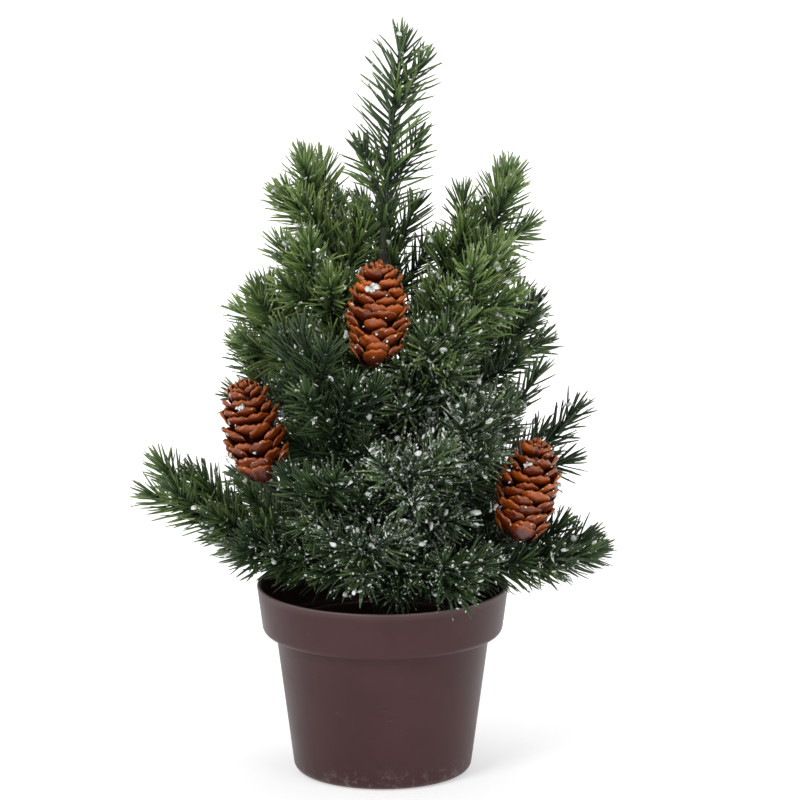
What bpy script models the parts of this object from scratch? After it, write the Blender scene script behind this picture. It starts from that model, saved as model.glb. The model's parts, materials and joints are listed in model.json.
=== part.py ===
"""Artificial tabletop tree: a small wired fir with three cones, set in a weighted plastic pot.

Metres, +Z up. The origin is the centre of the pot's flat underside, and the front faces -Y.
The pot shell holds a plaster ballast, and the ballast holds the trunk rod in its tape sleeve.
Each branch is a taped wire with a moulded needle sprig pushed onto its outer end. The leader is
the same on top of the trunk, and each cone stands on a wire of its own. Every wire starts in a
round end on its bending point, so it turns there without touching the sleeve.
"""

import math
from collections import namedtuple

import bmesh
import bpy
from mathutils import Vector

MM = 0.001

# Overall sizes
TREE_HEIGHT = 331 * MM  # underside of the pot to the leader's tip
SPREAD_RADIUS = 106 * MM  # trunk to the tip of the longest branch

# Pot
POT_HEIGHT = 82.5 * MM
POT_RIM_RADIUS = 54.5 * MM
POT_BAND_RADIUS = 51.7 * MM  # outside of the rim band at its lower edge
POT_BODY_RADIUS = 46.3 * MM  # outside of the body right under the rim band
POT_FOOT_RADIUS = 38.2 * MM
POT_BAND_HEIGHT = 21.2 * MM
POT_WALL = 1.5 * MM
POT_FLOOR = 1.8 * MM
POT_SIDES = 44
ARC_STEPS = 2  # facets in each rounded corner of a turned outline
LIP_ROUND = 0.7 * MM
BAND_ROUND = 3.2 * MM
STEP_FILLET = 1.4 * MM
FOOT_ROUND = 4.0 * MM

# Ballast
BALLAST_FILL = 36 * MM  # height of the plaster above the pot's floor
BALLAST_CROWN = 2.5 * MM  # how far the plaster rises towards the trunk
BALLAST_SIDES = 30
ROD_SET_DEPTH = 27 * MM
SLEEVE_SET_DEPTH = 4 * MM

# Trunk
ROD_RADIUS = 1.5 * MM
SLEEVE_FOOT_RADIUS = 4.6 * MM
SLEEVE_TOP_RADIUS = 2.5 * MM
TRUNK_TOP = POT_HEIGHT + 0.588 * (TREE_HEIGHT - POT_HEIGHT)
TRUNK_BOW = 4 * MM  # the trunk's sideways bow, towards +X
SLEEVE_SIDES = 12
SLEEVE_STATIONS = 8

# Wires and sprigs
WIRE_RADIUS = 1.2 * MM
WIRE_STATIONS = 4
ROUND_END = ((80, 0.30), (35, 0.82))  # degrees back from the wire's start, and share of its radius
SOCKET_DEPTH = 9 * MM  # how far a wire goes into its sprig or cone
SPRIG_CORE_RADIUS = 2.3 * MM
BRUSH_RADIUS = 9.0 * MM  # firm part of a sprig, inside the soft needle ends
LEADER_BRUSH_RADIUS = 12.5 * MM
CROWN_PITCH = 10.5 * MM  # distance between the whorls of needles
WHORL_NEEDLES = 5
WHORL_BASE, WHORL_WEB, WHORL_TIP = 0.35, 0.80, 1.17  # along the sprig, in pitches
SPRIG_TAPER = 0.80  # first and last whorls, as a share of the fullest one
SPRIG_POINT = 0.30  # the sprig's very tip, as a share of its core
LEADER_LEAN = 10 * MM  # how far the leader's tip leans towards +X
LEADER_BOW = 0.25  # how far the leader first bends the other way, as a share of its lean
LEADER_STEM = 9 * MM  # bare wire below the leader sprig

# Cones
CONE_LENGTH = 45 * MM
CONE_RADIUS = 14.2 * MM
CONE_ROWS = 9
CONE_SCALES = 8
CONE_NECK_RADIUS = 3.2 * MM
CONE_ENDS = (0.13, 0.93)  # where the half wave of the outline starts and stops, as shares of it
CONE_BELLY = 0.80  # below 1, the widest place is under the middle
CONE_BLUNTNESS = 0.62  # below 1, the ends are blunt
SCALE_ROOT, SCALE_TIP = 0.25, 1.15  # along the cone, in rows
SCALE_ROOT_DEPTH, SCALE_SIDE_DEPTH = 0.70, 0.80  # of the cone's half width there
SCALE_SIDE_DROP = 0.03  # how far the grooves between scale tips lie below them, of the length
CONE_TOP, CONE_TOP_DEPTH = 0.985, 0.35  # last ring, of the length and of the half width
CONE_UPTURN = 0.5  # where its wire turns up, below the cone's foot, as a share of the wire's climb

GAP = 0.3 * MM  # between pieces that touch

# The tree's crown is measured from the pot's rim: heights are shares of the crown's height, and
# reaches are shares of SPREAD_RADIUS. Azimuth is in degrees from +X towards +Y. Sag bows the
# branch below its chord, and sprig is the share of the branch that carries needles.
Branch = namedtuple("Branch", "name azimuth root tip reach sag sprig")
BRANCHES = (
    Branch("top_left", 160, 0.430, 0.765, 0.37, 0.10, 0.58),
    Branch("top_right", 15, 0.395, 0.740, 0.52, 0.14, 0.56),
    Branch("top_back", 92, 0.365, 0.665, 0.34, 0.12, 0.60),
    Branch("crown_front_left", 208, 0.350, 0.640, 0.44, 0.12, 0.60),
    Branch("crown_front_right", 333, 0.325, 0.630, 0.47, 0.12, 0.60),
    Branch("upper_left", 182, 0.250, 0.545, 0.56, 0.14, 0.62),
    Branch("upper_right", 18, 0.245, 0.500, 0.64, 0.14, 0.62),
    Branch("upper_front", 302, 0.245, 0.510, 0.44, 0.10, 0.58),
    Branch("upper_back_right", 57, 0.205, 0.430, 0.62, 0.14, 0.64),
    Branch("upper_back_left", 114, 0.150, 0.400, 0.62, 0.14, 0.64),
    Branch("middle_left", 159, 0.175, 0.430, 0.67, 0.14, 0.62),
    Branch("middle_right", 351, 0.160, 0.405, 0.64, 0.16, 0.62),
    Branch("middle_front_left", 234, 0.145, 0.520, 0.58, 0.16, 0.62),
    Branch("middle_front_right", 311, 0.130, 0.385, 0.66, 0.14, 0.62),
    Branch("middle_front", 281, 0.090, 0.305, 0.68, 0.10, 0.60),
    Branch("lower_right", 6, 0.080, 0.320, 0.82, 0.14, 0.62),
    Branch("lower_front_left", 240, 0.060, 0.260, 0.62, 0.12, 0.60),
    Branch("lower_front", 261, 0.036, 0.155, 0.70, 0.08, 0.62),
    Branch("lower_front_right", 301, 0.024, 0.095, 0.70, 0.06, 0.62),
    Branch("lower_back_right", 46, 0.050, 0.165, 0.82, 0.10, 0.66),
    Branch("lower_back_left", 130, 0.040, 0.150, 0.82, 0.10, 0.66),
    Branch("bottom_left", 188, 0.036, 0.185, 1.00, 0.08, 0.68),
    Branch("bottom_front_left", 206, 0.020, 0.098, 0.71, 0.06, 0.64),
    Branch("bottom_right", 343, 0.022, 0.086, 0.93, 0.06, 0.68),
)

# Cones: root, foot and reach place the foot of the cone as above, and lean tilts it towards +X.
Cone = namedtuple("Cone", "name azimuth root foot reach lean")
CONES = (
    Cone("middle", 260, 0.300, 0.425, 0.37, 2),
    Cone("left", 211, 0.110, 0.215, 0.56, -13),
    Cone("right", 330, 0.075, 0.112, 0.62, 11),
)

UP = Vector((0, 0, 1))


def clear_scene():
    for obj in list(bpy.data.objects):
        bpy.data.objects.remove(obj, do_unlink=True)


def new_collection(name):
    collection = bpy.data.collections.new(name)
    bpy.context.scene.collection.children.link(collection)
    return collection


def new_material(name, color, roughness, metallic=0.0):
    material = bpy.data.materials.new(name)
    material.use_nodes = True
    shader = material.node_tree.nodes["Principled BSDF"]
    shader.inputs["Base Color"].default_value = (*color, 1)
    shader.inputs["Roughness"].default_value = roughness
    shader.inputs["Metallic"].default_value = metallic
    material.diffuse_color = (*color, 1)
    return material


def add_object(name, data, material, collection, origin=Vector()):
    obj = bpy.data.objects.new(name, data)
    obj.location = origin
    data.materials.append(material)
    collection.objects.link(obj)
    return obj


# Shape tools


def rounded(corners):
    """The outline through corners of (radius, height, rounding), with an arc at each rounded one."""
    points = []
    for i, (x, z, rounding) in enumerate(corners):
        here = Vector((x, z))
        if not rounding:
            points.append(here)
            continue
        back = (Vector(corners[i - 1][:2]) - here).normalized()
        ahead = (Vector(corners[i + 1][:2]) - here).normalized()
        half = back.angle(ahead) / 2
        reach = rounding / math.tan(half)
        centre = here + (back + ahead).normalized() * (rounding / math.sin(half))
        first = here + back * reach - centre
        last = here + ahead * reach - centre
        for step in range(ARC_STEPS + 1):
            points.append(centre + first.slerp(last, step / ARC_STEPS) * rounding)
    return points


def turned(name, outline, sides, material, collection):
    """A turned piece from its outline, which starts and ends on the axis and runs down outside."""
    mesh = bpy.data.meshes.new(name)
    edges = [(i, i + 1) for i in range(len(outline) - 1)]
    mesh.from_pydata([(x, 0, z) for x, z in outline], edges, [])
    obj = add_object(name, mesh, material, collection)
    screw = obj.modifiers.new("Turn", "SCREW")
    screw.steps = screw.render_steps = sides
    screw.use_merge_vertices = True
    screw.merge_threshold = 0.00001
    screw.use_smooth_shade = True
    return obj


def ring(centre, across, over, sides, radius):
    """A ring of points round centre, in the plane of across and over."""
    points = []
    for i in range(sides):
        angle = 2 * math.pi * i / sides
        points.append(centre + (across * math.cos(angle) + over * math.sin(angle)) * radius)
    return points


def lofted(name, rings, material, collection, origin, loop=False):
    """A closed skin over rings of equal count. Its ends close on their middles, or on each other."""
    bm = bmesh.new()
    rows = [[bm.verts.new(point - origin) for point in points] for points in rings]
    pairs = list(zip(rows, rows[1:] + rows[:1]))
    for low, high in pairs if loop else pairs[:-1]:
        for i, corner in enumerate(low):
            j = (i + 1) % len(low)
            bm.faces.new((corner, low[j], high[j], high[i]))
    if not loop:
        for row in (rows[0], rows[-1]):
            middle = sum((v.co for v in row), Vector()) / len(row)
            hub = bm.verts.new(middle)
            for i, corner in enumerate(row):
                bm.faces.new((corner, row[(i + 1) % len(row)], hub))
    bmesh.ops.recalc_face_normals(bm, faces=bm.faces)
    bmesh.ops.triangulate(bm, faces=bm.faces)
    mesh = bpy.data.meshes.new(name)
    bm.to_mesh(mesh)
    bm.free()
    return add_object(name, mesh, material, collection, origin)


def tube(name, points, radii, material, collection, origin):
    """A wire through points, with a radius at each."""
    curve = bpy.data.curves.new(name, "CURVE")
    curve.dimensions = "3D"
    curve.bevel_depth = 1
    curve.bevel_resolution = 2
    curve.use_fill_caps = True
    spline = curve.splines.new("POLY")
    spline.points.add(len(points) - 1)
    for knot, point, radius in zip(spline.points, points, radii):
        knot.co = (*(point - origin), 1)
        knot.radius = radius
    return add_object(name, curve, material, collection, origin)


class Route:
    """A smooth path from start to end that passes near bend, measured by its own length."""

    SAMPLES = 60

    def __init__(self, start, bend, end):
        self.points = []
        for i in range(self.SAMPLES + 1):
            t = i / self.SAMPLES
            self.points.append(start * (1 - t) ** 2 + bend * 2 * t * (1 - t) + end * t**2)
        self.lengths = [0.0]
        for a, b in zip(self.points, self.points[1:]):
            self.lengths.append(self.lengths[-1] + (b - a).length)
        self.length = self.lengths[-1]

    def at(self, distance):
        distance = min(max(distance, 0), self.length)
        for i in range(self.SAMPLES):
            if distance <= self.lengths[i + 1]:
                break
        step = self.lengths[i + 1] - self.lengths[i]
        return self.points[i].lerp(self.points[i + 1], (distance - self.lengths[i]) / step)

    def direction(self, distance):
        step = self.length / self.SAMPLES
        return (self.at(distance + step) - self.at(distance - step)).normalized()


# Places that the pieces share


def crown_height(share):
    return POT_HEIGHT + share * (TREE_HEIGHT - POT_HEIGHT)


def ballast_top():
    return POT_FLOOR + BALLAST_FILL


def trunk_centre(height):
    """The middle of the trunk at a height. The trunk is straight up to the pot's rim."""
    share = min(max((height - POT_HEIGHT) / (TRUNK_TOP - POT_HEIGHT), 0), 1)
    return Vector((TRUNK_BOW * math.sin(math.pi * share) ** 2, 0, height))


def sleeve_radius(height):
    foot = ballast_top() - SLEEVE_SET_DEPTH
    share = (height - foot) / (TRUNK_TOP - foot)
    return SLEEVE_FOOT_RADIUS + (SLEEVE_TOP_RADIUS - SLEEVE_FOOT_RADIUS) * share


def body_radius(height):
    """Outside of the pot's body below its rim band, where it tapers to the foot."""
    step = POT_HEIGHT - POT_BAND_HEIGHT
    return POT_FOOT_RADIUS + (POT_BODY_RADIUS - POT_FOOT_RADIUS) * height / step


def outward(azimuth):
    return Vector((math.cos(math.radians(azimuth)), math.sin(math.radians(azimuth)), 0))


def root_pivot(azimuth, height):
    """Where a wire bends at the trunk: the middle of its round end, clear of the sleeve."""
    stand_off = sleeve_radius(height) + GAP + WIRE_RADIUS
    return trunk_centre(height) + outward(azimuth) * stand_off


# Pieces


def build_pot(material, collection):
    step = POT_HEIGHT - POT_BAND_HEIGHT
    outline = [(0, POT_FLOOR, 0)]
    outline.append((body_radius(POT_FLOOR) - POT_WALL, POT_FLOOR, FOOT_ROUND - POT_WALL))
    outline.append((POT_BODY_RADIUS - POT_WALL, step + POT_WALL, STEP_FILLET))
    outline.append((POT_BAND_RADIUS - POT_WALL, step + POT_WALL, BAND_ROUND - POT_WALL))
    outline.append((POT_RIM_RADIUS - POT_WALL, POT_HEIGHT, LIP_ROUND))
    outline.append((POT_RIM_RADIUS, POT_HEIGHT, LIP_ROUND))
    outline.append((POT_BAND_RADIUS, step, BAND_ROUND))
    outline.append((POT_BODY_RADIUS, step, STEP_FILLET))
    outline.append((POT_FOOT_RADIUS, 0, FOOT_ROUND))
    outline.append((0, 0, 0))
    return turned("pot_shell", rounded(outline), POT_SIDES, material, collection)


def build_ballast(material, collection):
    top, floor = ballast_top(), POT_FLOOR + GAP
    inset = POT_WALL + 2 * GAP
    hole = ROD_RADIUS + GAP
    mouth = sleeve_radius(top - SLEEVE_SET_DEPTH) + GAP
    outline = [(0, top - ROD_SET_DEPTH, 0), (hole, top - ROD_SET_DEPTH, 0)]
    outline += [(hole, top - SLEEVE_SET_DEPTH - GAP, 0), (mouth, top - SLEEVE_SET_DEPTH - GAP, 0)]
    outline += [(mouth, top + BALLAST_CROWN, 0), (body_radius(top) - inset, top, 0)]
    outline += [(body_radius(floor) - inset, floor, FOOT_ROUND), (0, floor, 0)]
    return turned("plaster_ballast", rounded(outline), BALLAST_SIDES, material, collection)


def build_trunk(rod_material, sleeve_material, collection):
    foot = ballast_top() - ROD_SET_DEPTH + GAP
    heights = [foot, POT_HEIGHT]
    steps = SLEEVE_STATIONS - 1
    heights += [POT_HEIGHT + (TRUNK_TOP - POT_HEIGHT) * i / steps for i in range(1, steps + 1)]
    points = [trunk_centre(height) for height in heights]
    radii = [ROD_RADIUS] * len(points)
    tube("trunk_rod", points, radii, rod_material, collection, points[0])

    heights[0] = ballast_top() - SLEEVE_SET_DEPTH
    outer, inner = [], []
    for height in heights:
        centre = trunk_centre(height)
        across, over = Vector((1, 0, 0)), Vector((0, 1, 0))
        outer.append(ring(centre, across, over, SLEEVE_SIDES, sleeve_radius(height)))
        inner.append(ring(centre, across, over, SLEEVE_SIDES, ROD_RADIUS + GAP))
    rings = outer + inner[::-1]
    origin = trunk_centre(heights[0])
    lofted("trunk_tape_sleeve", rings, sleeve_material, collection, origin, loop=True)


def build_wire(name, route, end, material, collection):
    """A taped wire along route as far as end, with a round end about the route's start."""
    start, along = route.at(0), route.direction(0)
    points, radii = [], []
    for degrees, share in ROUND_END:
        points.append(start - along * WIRE_RADIUS * math.sin(math.radians(degrees)))
        radii.append(WIRE_RADIUS * share)
    for i in range(WIRE_STATIONS):
        distance = WIRE_RADIUS + (end - WIRE_RADIUS) * i / (WIRE_STATIONS - 1)
        points.append(route.at(distance))
        radii.append(WIRE_RADIUS)
    return tube(name, points, radii, material, collection, start)


def build_sprig(name, route, foot, across, radius, material, collection):
    """A moulded sprig along route from foot to its end: a socket, then whorls swept forward."""
    sides = 2 * WHORL_NEEDLES

    def at(distance, size):
        over = route.direction(distance).cross(across).normalized()
        return ring(route.at(distance), across, over, sides, size)

    socket = WIRE_RADIUS + GAP
    rings = [at(foot + SOCKET_DEPTH, socket), at(foot, socket), at(foot, SPRIG_CORE_RADIUS)]
    length = route.length - foot
    whorls = max(round(length / CROWN_PITCH) - 1, 2)
    pitch = length / (whorls + 1)
    for i in range(whorls):
        fullness = math.sin(math.pi * (i + 0.5) / whorls)
        spread = radius * (SPRIG_TAPER + (1 - SPRIG_TAPER) * fullness)
        webs = at(foot + pitch * (i + WHORL_WEB), SPRIG_CORE_RADIUS)
        tips = at(foot + pitch * (i + WHORL_TIP), spread)
        rings.append(at(foot + pitch * (i + WHORL_BASE), SPRIG_CORE_RADIUS))
        rings.append([tips[k] if (k + i) % 2 else webs[k] for k in range(sides)])
    rings.append(at(foot + pitch * (whorls + WHORL_BASE), SPRIG_CORE_RADIUS))
    rings.append(at(route.length, SPRIG_POINT * SPRIG_CORE_RADIUS))
    return lofted(name, rings, material, collection, route.at(0))


def build_branch(branch, wire_material, sprig_material, collection):
    start = root_pivot(branch.azimuth, crown_height(branch.root))
    away = outward(branch.azimuth)
    across = away.cross(UP)
    tip = trunk_centre(crown_height(branch.root)) + away * branch.reach * SPREAD_RADIUS
    tip.z = crown_height(branch.tip)
    chord = tip - start
    bend = start + chord / 2 + chord.cross(across) * branch.sag
    route = Route(start, bend, tip)
    foot = route.length * (1 - branch.sprig)
    wire_end = foot + SOCKET_DEPTH - GAP
    build_wire("wire_" + branch.name, route, wire_end, wire_material, collection)
    name = "sprig_" + branch.name
    build_sprig(name, route, foot, across, BRUSH_RADIUS, sprig_material, collection)


def build_leader(wire_material, sprig_material, collection):
    top = trunk_centre(TRUNK_TOP)
    start = top + UP * (GAP + WIRE_RADIUS)
    tip = Vector((top.x + LEADER_LEAN, top.y, TREE_HEIGHT))
    bend = start.lerp(tip, 0.5) - Vector((LEADER_BOW * LEADER_LEAN, 0, 0))
    route = Route(start, bend, tip)
    wire_end = LEADER_STEM + SOCKET_DEPTH - GAP
    build_wire("leader_wire", route, wire_end, wire_material, collection)
    across = Vector((0, 1, 0))
    radius = LEADER_BRUSH_RADIUS
    build_sprig("leader_sprig", route, LEADER_STEM, across, radius, sprig_material, collection)


def cone_radius(share):
    """The cone's half width at a share of its length: full below the middle, blunt on top."""
    first, last = CONE_ENDS
    wave = math.sin(math.pi * (first + (last - first) * share) ** CONE_BELLY)
    return CONE_RADIUS * wave**CONE_BLUNTNESS


def build_cone(cone, wire_material, cone_material, collection):
    start = root_pivot(cone.azimuth, crown_height(cone.root))
    centre = trunk_centre(crown_height(cone.root))
    foot = centre + outward(cone.azimuth) * cone.reach * SPREAD_RADIUS
    foot.z = crown_height(cone.foot)
    lean = math.radians(cone.lean)
    axis = Vector((math.sin(lean), 0, math.cos(lean)))
    across = Vector((0, 1, 0))
    over = axis.cross(across)

    end = foot + axis * (SOCKET_DEPTH - GAP)
    straight = foot - axis * 2 * WIRE_RADIUS
    route = Route(start, foot - axis * CONE_UPTURN * (foot.z - start.z), straight)
    wire = build_wire("cone_wire_" + cone.name, route, route.length, wire_material, collection)
    spline = wire.data.splines[0]
    spline.points.add(1)
    spline.points[-1].co = (*(end - start), 1)
    spline.points[-1].radius = WIRE_RADIUS

    sides = 2 * CONE_SCALES

    def at(share, size):
        return ring(foot + axis * CONE_LENGTH * share, across, over, sides, size)

    socket = WIRE_RADIUS + GAP
    rings = [at(SOCKET_DEPTH / CONE_LENGTH, socket), at(0, socket), at(0, CONE_NECK_RADIUS)]
    for i in range(CONE_ROWS):
        low, high = (i + SCALE_ROOT) / (CONE_ROWS + 1), (i + SCALE_TIP) / (CONE_ROWS + 1)
        width = cone_radius(high)
        tips = at(high, width)
        grooves = at(high - SCALE_SIDE_DROP, SCALE_SIDE_DEPTH * width)
        rings.append(at(low, SCALE_ROOT_DEPTH * cone_radius(low)))
        rings.append([tips[k] if (k + i) % 2 else grooves[k] for k in range(sides)])
    rings.append(at(CONE_TOP, CONE_TOP_DEPTH * cone_radius(CONE_TOP)))
    name = "cone_" + cone.name
    return lofted(name, rings, cone_material, collection, foot)


def main():
    clear_scene()
    tree = new_collection("tabletop_tree")
    pot_plastic = new_material("pot_plastic", (0.076, 0.043, 0.045), 0.38)
    plaster = new_material("plaster", (0.30, 0.27, 0.24), 0.9)
    steel = new_material("steel_rod", (0.45, 0.44, 0.42), 0.4, 1.0)
    trunk_tape = new_material("trunk_tape", (0.045, 0.055, 0.028), 0.75)
    wire_tape = new_material("wire_tape", (0.05, 0.065, 0.03), 0.7)
    needles = new_material("needle_plastic", (0.055, 0.11, 0.04), 0.5)
    cone_plastic = new_material("cone_plastic", (0.37, 0.10, 0.02), 0.35)

    build_pot(pot_plastic, tree)
    build_ballast(plaster, tree)
    build_trunk(steel, trunk_tape, tree)
    build_leader(wire_tape, needles, tree)
    for branch in BRANCHES:
        build_branch(branch, wire_tape, needles, tree)
    for cone in CONES:
        build_cone(cone, wire_tape, cone_plastic, tree)


main()
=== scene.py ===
"""Looks of an artificial tabletop tree: moulded needle sprigs, flock, cones, tape and pot."""

import json
import math

import bpy
import numpy as np
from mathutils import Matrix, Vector


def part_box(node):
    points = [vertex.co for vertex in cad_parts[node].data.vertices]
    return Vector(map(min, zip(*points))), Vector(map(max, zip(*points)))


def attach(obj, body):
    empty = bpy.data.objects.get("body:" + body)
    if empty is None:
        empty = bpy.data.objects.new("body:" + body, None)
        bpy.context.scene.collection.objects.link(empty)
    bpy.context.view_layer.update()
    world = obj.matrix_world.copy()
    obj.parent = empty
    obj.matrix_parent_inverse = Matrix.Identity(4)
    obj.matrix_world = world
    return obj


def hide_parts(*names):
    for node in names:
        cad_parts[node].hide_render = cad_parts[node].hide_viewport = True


MM = 0.001
GOLDEN_TURN = math.pi * (3 - math.sqrt(5))
UP = np.array((0.0, 0.0, 1.0))

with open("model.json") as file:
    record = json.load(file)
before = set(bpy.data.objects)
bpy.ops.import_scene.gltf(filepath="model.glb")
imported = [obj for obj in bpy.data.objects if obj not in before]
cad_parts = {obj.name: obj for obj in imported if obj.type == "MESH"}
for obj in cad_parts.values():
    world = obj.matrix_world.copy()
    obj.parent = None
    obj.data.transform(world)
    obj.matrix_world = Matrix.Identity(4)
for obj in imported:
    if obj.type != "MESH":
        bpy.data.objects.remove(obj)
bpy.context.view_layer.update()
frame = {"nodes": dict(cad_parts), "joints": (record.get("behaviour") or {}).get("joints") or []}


# ---------------------------------------------------------------- vectors


def unit(v):
    """Vectors scaled to length 1 along the last axis."""
    v = np.asarray(v, float)
    return v / np.maximum(np.linalg.norm(v, axis=-1, keepdims=True), 1e-12)


def smooth(x, low, high):
    """0 below low, 1 above high, and a smooth step between them."""
    t = np.clip((x - low) / (high - low), 0, 1)
    return t * t * (3 - 2 * t)


def node_points(node):
    """The vertices of a CAD node, in metres."""
    data = frame["nodes"][node].data
    co = np.zeros(len(data.vertices) * 3)
    data.vertices.foreach_get("co", co)
    return co.reshape(-1, 3)


class Line:
    """A smooth path: points, tangents and two side directions at any distance along it."""

    def __init__(self, points, across=None):
        self.points = np.asarray(points, float)
        steps = np.linalg.norm(np.diff(self.points, axis=0), axis=1)
        self.marks = np.concatenate([[0], np.cumsum(steps)])
        self.length = self.marks[-1]
        self.tangents = unit(np.gradient(self.points, self.marks, axis=0))
        if across is None:
            across = np.cross(self.tangents[0], UP)
            if np.linalg.norm(across) < 0.05:
                across = np.array((0.0, 1.0, 0.0))
        self.across = unit(across)

    def at(self, distance):
        """Place, direction ahead and the two side directions at distances along the path."""
        distance = np.asarray(distance, float)
        where = [np.interp(distance, self.marks, self.points[:, k]) for k in range(3)]
        ahead = [np.interp(distance, self.marks, self.tangents[:, k]) for k in range(3)]
        place, along = np.stack(where, -1), unit(np.stack(ahead, -1))
        side = unit(self.across - along * (along @ self.across)[..., None])
        return place, along, side, np.cross(side, along)


def bezier(start, middle_shift, end, steps=48):
    """The path from start to end that bows by middle_shift at its control point."""
    t = np.linspace(0, 1, steps + 1)[:, None]
    return start + (end - start) * t + 2 * t * (1 - t) * middle_shift


# ---------------------------------------------------------------- meshes


class Batch:
    """Geometry gathered as arrays, made into one mesh at the end."""

    def __init__(self):
        self.points, self.quads, self.tris, self.marks = [], [], [], []
        self.count = 0

    def add(self, points, quads, tris, marks):
        """points (n, 3), faces as indices into them, and three numbers a point for the shader."""
        self.points.append(points)
        self.marks.append(np.broadcast_to(marks, points.shape))
        if len(quads):
            self.quads.append(np.asarray(quads) + self.count)
        if len(tris):
            self.tris.append(np.asarray(tris) + self.count)
        self.count += len(points)

    def make(self, name, material, body, slot=None, stands_for=()):
        """Makes the mesh as one piece that rides a body, and hides the CAD nodes it stands for."""
        quads = np.concatenate(self.quads) if self.quads else np.zeros((0, 4), int)
        tris = np.concatenate(self.tris) if self.tris else np.zeros((0, 3), int)
        mesh = bpy.data.meshes.new(name)
        points = np.concatenate(self.points).astype(np.float32)
        mesh.vertices.add(len(points))
        mesh.vertices.foreach_set("co", points.ravel())
        corners = np.concatenate([quads.ravel(), tris.ravel()]).astype(np.int32)
        sizes = np.concatenate([np.full(len(quads), 4), np.full(len(tris), 3)])
        starts = np.concatenate([[0], np.cumsum(sizes)[:-1]]).astype(np.int32)
        mesh.loops.add(len(corners))
        mesh.loops.foreach_set("vertex_index", corners)
        mesh.polygons.add(len(sizes))
        mesh.polygons.foreach_set("loop_start", starts)
        mesh.polygons.foreach_set("use_smooth", np.ones(len(sizes), bool))
        mesh.update(calc_edges=True)
        marks = mesh.attributes.new("marks", "FLOAT_VECTOR", "POINT")
        marks.data.foreach_set("vector", np.concatenate(self.marks).astype(np.float32).ravel())
        mesh.validate()
        mesh.materials.append(material)
        obj = bpy.data.objects.new(name, mesh)
        bpy.context.scene.collection.objects.link(obj)
        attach(obj, body)
        if stands_for:
            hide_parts(*stands_for)


def strip_faces(rows, sides):
    """Quads between rows of points, each row a ring of so many sides."""
    i, k = np.meshgrid(np.arange(rows - 1), np.arange(sides), indexing="ij")
    j = (k + 1) % sides
    quads = np.stack([i * sides + k, i * sides + j, (i + 1) * sides + j, (i + 1) * sides + k], -1)
    return quads.reshape(-1, 4)


NEEDLE_STATIONS = np.array((0.0, 0.12, 0.42, 0.72, 0.92))
NEEDLE_WIDTHS = np.array((0.75, 1.0, 1.0, 0.86, 0.50))
NEEDLE_FLATNESS = 0.62


def add_needles(batch, base, ahead, curl, length, radius, marks):
    """Tapered, curved needles. base, ahead and curl are (n, 3), the others (n,)."""
    n, rows = len(base), len(NEEDLE_STATIONS)
    ahead = unit(ahead)
    t = NEEDLE_STATIONS[None, :, None]
    reach = length[:, None, None]
    centre = base[:, None] + ahead[:, None] * reach * t + curl[:, None] * reach * t**2
    along = unit(ahead[:, None] + 2 * curl[:, None] * t)
    side = unit(np.cross(along, unit(curl + 1e-4 * UP)[:, None] + 0 * along))
    over = np.cross(side, along)
    wide = (radius[:, None] * NEEDLE_WIDTHS)[..., None, None]
    turn = np.arange(4) * math.pi / 2
    ring = (
        side[:, :, None] * np.cos(turn)[:, None]
        + over[:, :, None] * np.sin(turn)[:, None] * NEEDLE_FLATNESS
    )
    rings = (centre[:, :, None] + ring * wide).reshape(n, rows * 4, 3)
    tip = (base + ahead * length[:, None] + curl * length[:, None])[:, None]
    points = np.concatenate([rings, tip], 1)
    one_quads = np.concatenate([strip_faces(rows, 4), [[3, 2, 1, 0]]])
    last = (rows - 1) * 4
    one_tris = np.array([[last + k, last + (k + 1) % 4, rows * 4] for k in range(4)])
    shift = (np.arange(n) * (rows * 4 + 1))[:, None, None]
    tips = np.concatenate([np.repeat(NEEDLE_STATIONS, 4), [1.0]])
    shown = np.empty((n, rows * 4 + 1, 3))
    shown[..., 0] = marks[:, :1]
    shown[..., 1] = tips
    shown[..., 2] = marks[:, 1:2]
    batch.add(
        points.reshape(-1, 3),
        (one_quads + shift).reshape(-1, 4),
        (one_tris + shift).reshape(-1, 3),
        shown.reshape(-1, 3),
    )
    return centre, over


def add_tube(batch, line, start, end, radii, sides=8, marks=(0, 0, 0), rows=14, relief=None):
    """A closed tube along a line. radii runs from start to end, and relief adds to it."""
    distance = np.linspace(start, end, rows)
    place, _, side, over = line.at(distance)
    turn = np.arange(sides) * 2 * math.pi / sides
    radius = np.interp(np.linspace(0, 1, rows), np.linspace(0, 1, len(radii)), radii)
    radius = np.repeat(radius[:, None], sides, 1)
    if relief is not None:
        radius = radius + relief(distance[:, None], turn[None, :])
    ring = side[:, None] * np.cos(turn)[:, None] + over[:, None] * np.sin(turn)[:, None]
    points = (place[:, None] + ring * radius[..., None]).reshape(-1, 3)
    points = np.concatenate([points, place[:1], place[-1:]])
    hub = rows * sides
    ends = [[(k + 1) % sides, k, hub] for k in range(sides)]
    top = (rows - 1) * sides
    ends += [[top + k, top + (k + 1) % sides, hub + 1] for k in range(sides)]
    batch.add(points, strip_faces(rows, sides), ends, np.array(marks, float))


# ---------------------------------------------------------------- materials


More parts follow.
